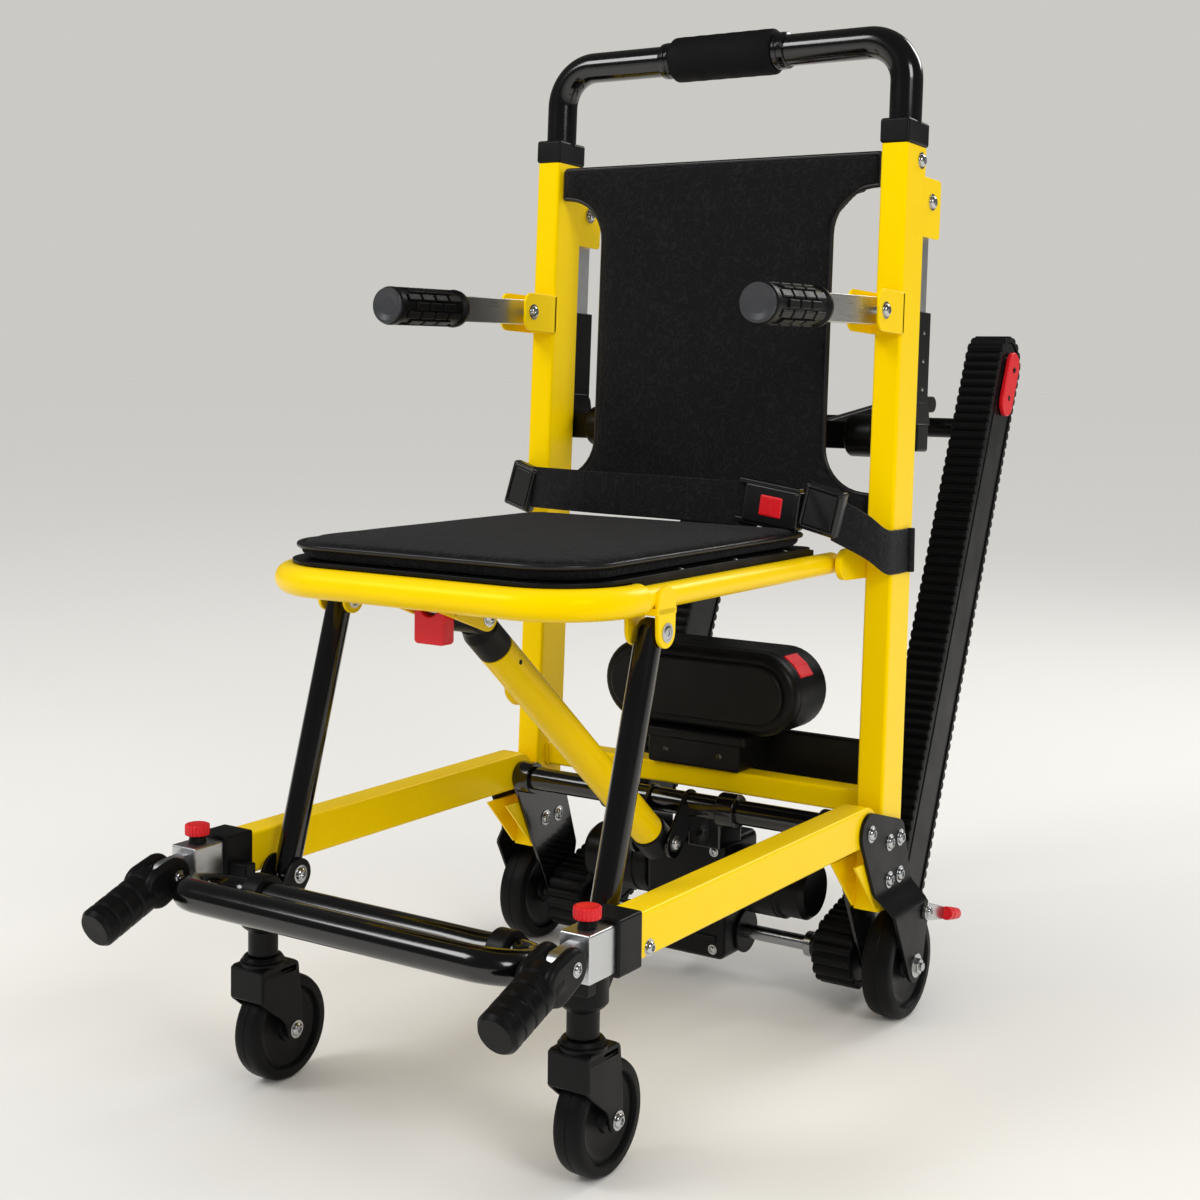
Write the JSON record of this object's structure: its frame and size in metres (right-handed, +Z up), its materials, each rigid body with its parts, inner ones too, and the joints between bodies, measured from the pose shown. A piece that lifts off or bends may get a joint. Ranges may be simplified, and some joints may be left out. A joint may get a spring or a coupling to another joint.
{
  "type": "stair climbing chair",
  "caption": "Folding evacuation chair on wheels with a padded seat and back, lap belt, folding arms, lift handles and powered tracks stowed behind the back for riding stairs.",
  "frame": {"origin": "on the floor, under the middle of the bounding box", "axes": "+Z up, the sitter faces -Y, +X is the sitter's left"},
  "size_m": [0.5368, 1.1198, 1.0501],
  "materials": {
    "yellow_paint": "gloss",
    "black_paint": "gloss",
    "black_aluminium": "satin",
    "black_plastic": "satin",
    "rubber": "matte",
    "fabric": "matte",
    "aluminium": "satin",
    "steel": "satin",
    "red_plastic": "satin"
  },
  "bodies": {
    "frame": {"upright_left": "yellow_paint", "upright_right": "yellow_paint", "upright_cap_left": "black_plastic", "upright_cap_right": "black_plastic", "lower_cross_tube": "yellow_paint", "lower_frame": "black_paint", "outer_wheel_plate_left": "black_paint", "outer_wheel_plate_right": "black_paint", "battery_dock": "black_plastic", "gearbox": "black_aluminium", "drive_motor_left": "black_paint", "drive_motor_right": "black_paint", "back_pad": "fabric", "stay_bar_left": "aluminium", "stay_bar_right": "aluminium", "lap_belt_left": "fabric", "lap_belt_right": "fabric"},
    "push_handle": {"push_handle": "black_aluminium", "handle_grip": "rubber"},
    "seat": {"seat_frame": "yellow_paint", "seat_board": "black_plastic", "seat_pad": "fabric"},
    "struts": {"front_strut_left": "black_paint", "front_strut_right": "black_paint"},
    "rails": {"rail_left": "yellow_paint", "rail_right": "yellow_paint", "front_bracket_left": "black_plastic", "front_bracket_right": "black_plastic", "handle_block_left": "aluminium", "handle_block_right": "aluminium"},
    "brace": {"brace_tube": "yellow_paint"},
    "brace_rod": {"brace_rod": "black_plastic"},
    "release_lever": {"release_lever": "red_plastic"},
    "footrest": {"footrest": "black_aluminium"},
    "track": {"track_frame": "black_aluminium", "track_belt_left": "rubber", "track_belt_right": "rubber", "track_guard_left": "red_plastic", "track_guard_right": "red_plastic"},
    "drive_shaft": {"drive_shaft": "steel"},
    "track_latch": {"latch_beam": "black_aluminium"},
    "battery": {"battery_case": "black_plastic"},
    "battery_latch": {"battery_latch": "red_plastic"},
    "buckle_button": {"buckle_button": "red_plastic"},
    "arm_left": {"arm_bar_left": "aluminium", "arm_grip_left": "black_plastic"},
    "lift_handle_left": {"lift_handle_left": "black_plastic"},
    "pull_knob_left": {"pull_knob_left": "red_plastic"},
    "caster_left": {"caster_fork_left": "black_plastic"},
    "caster_wheel_left": {"caster_wheel_left": "rubber"},
    "rear_wheel_left": {"rear_wheel_left": "rubber"},
    "brake_left": {"brake_lever_left": "red_plastic"},
    "arm_right": {"arm_bar_right": "aluminium", "arm_grip_right": "black_plastic"},
    "lift_handle_right": {"lift_handle_right": "black_plastic"},
    "pull_knob_right": {"pull_knob_right": "red_plastic"},
    "caster_right": {"caster_fork_right": "black_plastic"},
    "caster_wheel_right": {"caster_wheel_right": "rubber"},
    "rear_wheel_right": {"rear_wheel_right": "rubber"},
    "brake_right": {"brake_lever_right": "red_plastic"}
  },
  "joints": [
    {"name": "seat_fold", "type": "hinge", "parent": "frame", "child": "seat", "pos_m": [0, 0.05987, 0.482], "axis": [-1, 0, 0], "range_deg": [0, 80], "deforming": ["lap_belt_left", "lap_belt_right", "buckle_button"]},
    {"name": "rail_fold", "type": "hinge", "parent": "frame", "child": "rails", "pos_m": [0, 0.05787, 0.21], "axis": [-1, 0, 0], "range_deg": [0, 63]},
    {"name": "strut_fold", "type": "hinge", "parent": "seat", "child": "struts", "pos_m": [0, -0.28013, 0.452], "axis": [-1, 0, 0], "range_deg": [-71.4, 0]},
    {"name": "brace_tilt", "type": "hinge", "parent": "frame", "child": "brace", "pos_m": [0, 0.02617, 0.1737], "axis": [-1, 0, 0], "range_deg": [0, 45.2]},
    {"name": "brace_extend", "type": "slide", "parent": "brace", "child": "brace_rod", "axis": [0, -0.7668, 0.6418], "range_m": [0, 0.234]},
    {"name": "push_handle_raise", "type": "slide", "parent": "frame", "child": "push_handle", "axis": [0, 0.0436, 0.999], "range_m": [0, 0.22]},
    {"name": "release_lever_pull", "type": "hinge", "parent": "seat", "child": "release_lever", "pos_m": [0, -0.35713, 0.462], "axis": [-1, 0, 0], "range_deg": [0, 25], "stiffness_Nm_per_rad": 0.6},
    {"name": "footrest_fold", "type": "hinge", "parent": "rails", "child": "footrest", "pos_m": [0, -0.43113, 0.199], "axis": [-1, 0, 0], "range_deg": [0, 70]},
    {"name": "track_deploy", "type": "hinge", "parent": "frame", "child": "track", "pos_m": [0, 0.13587, 0.057], "axis": [-1, 0, 0], "range_deg": [0, 28]},
    {"name": "drive_shaft_spin", "type": "hinge", "parent": "frame", "child": "drive_shaft", "pos_m": [0, 0.13587, 0.057], "axis": [1, 0, 0], "continuous": true},
    {"name": "track_latch_lift", "type": "slide", "parent": "frame", "child": "track_latch", "axis": [0, 0.0436, 0.999], "range_m": [0, 0.02]},
    {"name": "battery_lift", "type": "slide", "parent": "frame", "child": "battery", "axis": [0, 0, 1], "range_m": [0, 0.09]},
    {"name": "battery_latch_press", "type": "slide", "parent": "battery", "child": "battery_latch", "axis": [-0.7071, 0, -0.7071], "range_m": [0, 0.003], "stiffness_N_per_m": 600},
    {"name": "buckle_button_press", "type": "slide", "parent": "frame", "child": "buckle_button", "axis": [0, 1, 0], "range_m": [0, 0.0025], "stiffness_N_per_m": 500},
    {"name": "arm_left_fold", "type": "hinge", "parent": "frame", "child": "arm_left", "pos_m": [0.2175, 0.06973, 0.74081], "axis": [-1, 0, 0], "range_deg": [0, 90]},
    {"name": "lift_handle_left_fold", "type": "hinge", "parent": "rails", "child": "lift_handle_left", "pos_m": [0.2175, -0.47243, 0.216], "axis": [-1, 0, 0], "range_deg": [0, 30]},
    {"name": "pull_knob_left_pull", "type": "slide", "parent": "rails", "child": "pull_knob_left", "axis": [0, 0, 1], "range_m": [0, 0.008], "stiffness_N_per_m": 800},
    {"name": "caster_left_swivel", "type": "hinge", "parent": "rails", "child": "caster_left", "pos_m": [0.1815, -0.38263, 0.125], "axis": [0, 0, 1], "continuous": true},
    {"name": "caster_wheel_left_spin", "type": "hinge", "parent": "caster_left", "child": "caster_wheel_left", "pos_m": [0.1815, -0.35863, 0.05], "axis": [1, 0, 0], "continuous": true},
    {"name": "rear_wheel_left_spin", "type": "hinge", "parent": "frame", "child": "rear_wheel_left", "pos_m": [0.2325, 0.13587, 0.057], "axis": [1, 0, 0], "continuous": true},
    {"name": "brake_left_press", "type": "hinge", "parent": "frame", "child": "brake_left", "pos_m": [0.2543, 0.15587, 0.11], "axis": [-1, 0, 0], "range_deg": [0, 30]},
    {"name": "arm_right_fold", "type": "hinge", "parent": "frame", "child": "arm_right", "pos_m": [-0.2175, 0.06973, 0.74081], "axis": [-1, 0, 0], "range_deg": [0, 90]},
    {"name": "lift_handle_right_fold", "type": "hinge", "parent": "rails", "child": "lift_handle_right", "pos_m": [-0.2175, -0.47243, 0.216], "axis": [-1, 0, 0], "range_deg": [0, 30]},
    {"name": "pull_knob_right_pull", "type": "slide", "parent": "rails", "child": "pull_knob_right", "axis": [0, 0, 1], "range_m": [0, 0.008], "stiffness_N_per_m": 800},
    {"name": "caster_right_swivel", "type": "hinge", "parent": "rails", "child": "caster_right", "pos_m": [-0.1815, -0.38263, 0.125], "axis": [0, 0, 1], "continuous": true},
    {"name": "caster_wheel_right_spin", "type": "hinge", "parent": "caster_right", "child": "caster_wheel_right", "pos_m": [-0.1815, -0.35863, 0.05], "axis": [1, 0, 0], "continuous": true},
    {"name": "rear_wheel_right_spin", "type": "hinge", "parent": "frame", "child": "rear_wheel_right", "pos_m": [-0.2325, 0.13587, 0.057], "axis": [1, 0, 0], "continuous": true},
    {"name": "brake_right_press", "type": "hinge", "parent": "frame", "child": "brake_right", "pos_m": [-0.2543, 0.15587, 0.11], "axis": [-1, 0, 0], "range_deg": [0, 30]}
  ],
  "couplings": [
    {"joint": "rail_fold", "follows": "seat_fold", "ratio": 0.78538},
    {"joint": "strut_fold", "follows": "seat_fold", "ratio": -0.89089},
    {"joint": "brace_tilt", "follows": "seat_fold", "ratio": 0.56337},
    {"joint": "brace_extend", "follows": "seat_fold", "m_per_rad": 0.16642}
  ]
}
